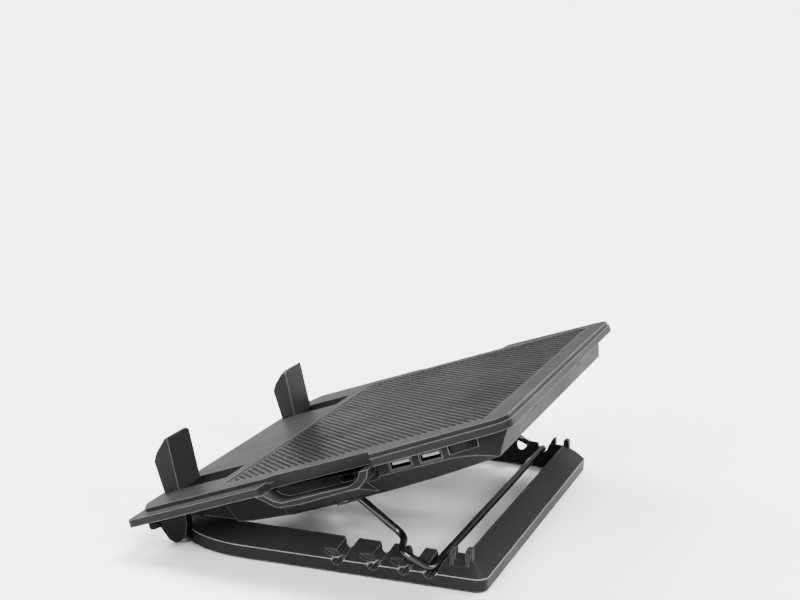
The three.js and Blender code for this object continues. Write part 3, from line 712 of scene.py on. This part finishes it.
class COOLPAD_OT_bail(bpy.types.Operator):
    """Bent wire bail that props the deck up"""

    bl_idname = "coolpad.bail"
    bl_label = "Wire bail"

    def execute(self, context):
        values = context.scene.coolpad_wire
        right = [Vector(point) * MM for point in WIRE_ARM]
        left = [Vector((-point.x, point.y, point.z)) for point in reversed(right)]
        turn = Matrix.Rotation(WIRE_TURN, 4, "X")
        place = deck_frame() @ Matrix.Translation(WIRE_PIVOT) @ turn
        route = self.rounded(right + left, values.bend)
        data = bpy.data.curves.new("wire_bail_path", "CURVE")
        data.dimensions = "3D"
        data.bevel_depth = values.radius
        data.bevel_resolution = 5
        data.use_fill_caps = True
        line = data.splines.new("POLY")
        line.points.add(len(route) - 1)
        for point, place_on in zip(line.points, route):
            point.co = (*(place @ place_on), 1.0)
        carrier = bpy.data.objects.new("wire_bail_path", data)
        context.scene.collection.objects.link(carrier)
        context.view_layer.update()
        solid = carrier.evaluated_get(context.evaluated_depsgraph_get())
        mesh = bpy.data.meshes.new_from_object(solid)
        bpy.data.objects.remove(carrier)
        mesh.name = "wire_bail"
        mesh.shade_smooth()
        mesh.set_sharp_from_angle(angle=WIRE_SMOOTH_ANGLE)
        piece = link_piece("wire_bail", mesh, "prop", black_wire())
        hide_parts("bail")
        return {"FINISHED"}

    def rounded(self, corners, bend):
        """Points along straight runs joined by smooth bends."""
        route = [corners[0]]
        for before, corner, after in zip(corners, corners[1:], corners[2:]):
            shorter = min((before - corner).length, (after - corner).length)
            reach = min(bend, shorter / BEND_SHARE)
            start = corner + (before - corner).normalized() * reach
            end = corner + (after - corner).normalized() * reach
            for step in range(BEND_STEPS + 1):
                along = step / BEND_STEPS
                route.append(start.lerp(corner, along).lerp(corner.lerp(end, along), along))
        route.append(corners[-1])
        return route


class COOLPAD_OT_stops(bpy.types.Operator):
    """The two stops that keep the laptop from sliding"""

    bl_idname = "coolpad.stops"
    bl_label = "Stops"

    def execute(self, context):
        for side in ("right", "left"):
            refinished(f"stop_{side}", f"stop_{side}_skin", f"{side}_stop",
                       satin_plastic(), edge=0.6 * MM)
            repaint([f"stop_pin_{side}"], plated_steel())
        return {"FINISHED"}


class COOLPAD_OT_fan(bpy.types.Operator):
    """Fan frame, rotor, motor and screws"""

    bl_idname = "coolpad.fan"
    bl_label = "Fan"

    def execute(self, context):
        refinished("fan_frame", "fan_frame_skin", "deck", fan_plastic(),
                   edge=0.3 * MM)
        refinished("fan_rotor", "fan_rotor_skin", "rotor", fan_plastic(),
                   edge=0.25 * MM)
        repaint(["fan_motor"], plated_steel())
        screws = [name for name in NODES if name.startswith(("fan_screw", "case_screw"))]
        repaint(screws, plated_steel())
        return {"FINISHED"}


class COOLPAD_OT_electronics(bpy.types.Operator):
    """Sockets, circuit board and speed dial"""

    bl_idname = "coolpad.electronics"
    bl_label = "Sockets and dial"

    def execute(self, context):
        for name in ("usb_port_1", "usb_port_2"):
            refinished(name, f"{name}_shell", "deck", dark_nickel(),
                       edge=0.15 * MM)
        refinished("power_inlet", "power_inlet_housing", "deck", dial_plastic(),
                   edge=0.15 * MM)
        repaint(["usb_tongue_1", "usb_tongue_2"], white_nylon())
        repaint(["circuit_board"], green_board())
        repaint(["dial_control"], plated_steel())
        refinished("speed_dial", "speed_dial_wheel", "dial", dial_plastic(),
                   edge=0.3 * MM)
        return {"FINISHED"}


class COOLPAD_PT_panel(bpy.types.Panel):
    """Cooling pad pieces and their settings"""

    bl_idname = "COOLPAD_PT_panel"
    bl_label = "Cooling Pad"
    bl_space_type = "VIEW_3D"
    bl_region_type = "UI"
    bl_category = "Cooling Pad"

    def draw(self, context):
        column = self.layout.column(align=True)
        for operator in OPERATORS:
            column.operator(operator.bl_idname)
        for name, group in SETTINGS.items():
            box = self.layout.box()
            for field in group.__annotations__:
                box.prop(getattr(context.scene, name), field)


SETTINGS = {
    "coolpad_stage": CoolpadStageSettings,
    "coolpad_plastic": CoolpadPlasticSettings,
    "coolpad_mesh": CoolpadMeshSettings,
    "coolpad_wire": CoolpadWireSettings,
}
OPERATORS = (
    COOLPAD_OT_stage, COOLPAD_OT_base, COOLPAD_OT_deck, COOLPAD_OT_mesh_top, COOLPAD_OT_bail,
    COOLPAD_OT_stops, COOLPAD_OT_fan, COOLPAD_OT_electronics,
)


def register():
    for cls in (*SETTINGS.values(), *OPERATORS, COOLPAD_PT_panel):
        bpy.utils.register_class(cls)
    for name, group in SETTINGS.items():
        setattr(bpy.types.Scene, name, PointerProperty(type=group))


def unregister():
    for name in SETTINGS:
        delattr(bpy.types.Scene, name)
    for cls in reversed((*SETTINGS.values(), *OPERATORS, COOLPAD_PT_panel)):
        bpy.utils.unregister_class(cls)


def main():
    register()
    bpy.ops.coolpad.stage()
    bpy.ops.coolpad.base()
    bpy.ops.coolpad.deck()
    bpy.ops.coolpad.mesh_top()
    bpy.ops.coolpad.bail()
    bpy.ops.coolpad.stops()
    bpy.ops.coolpad.fan()
    bpy.ops.coolpad.electronics()


if __name__ == "__main__":
    main()
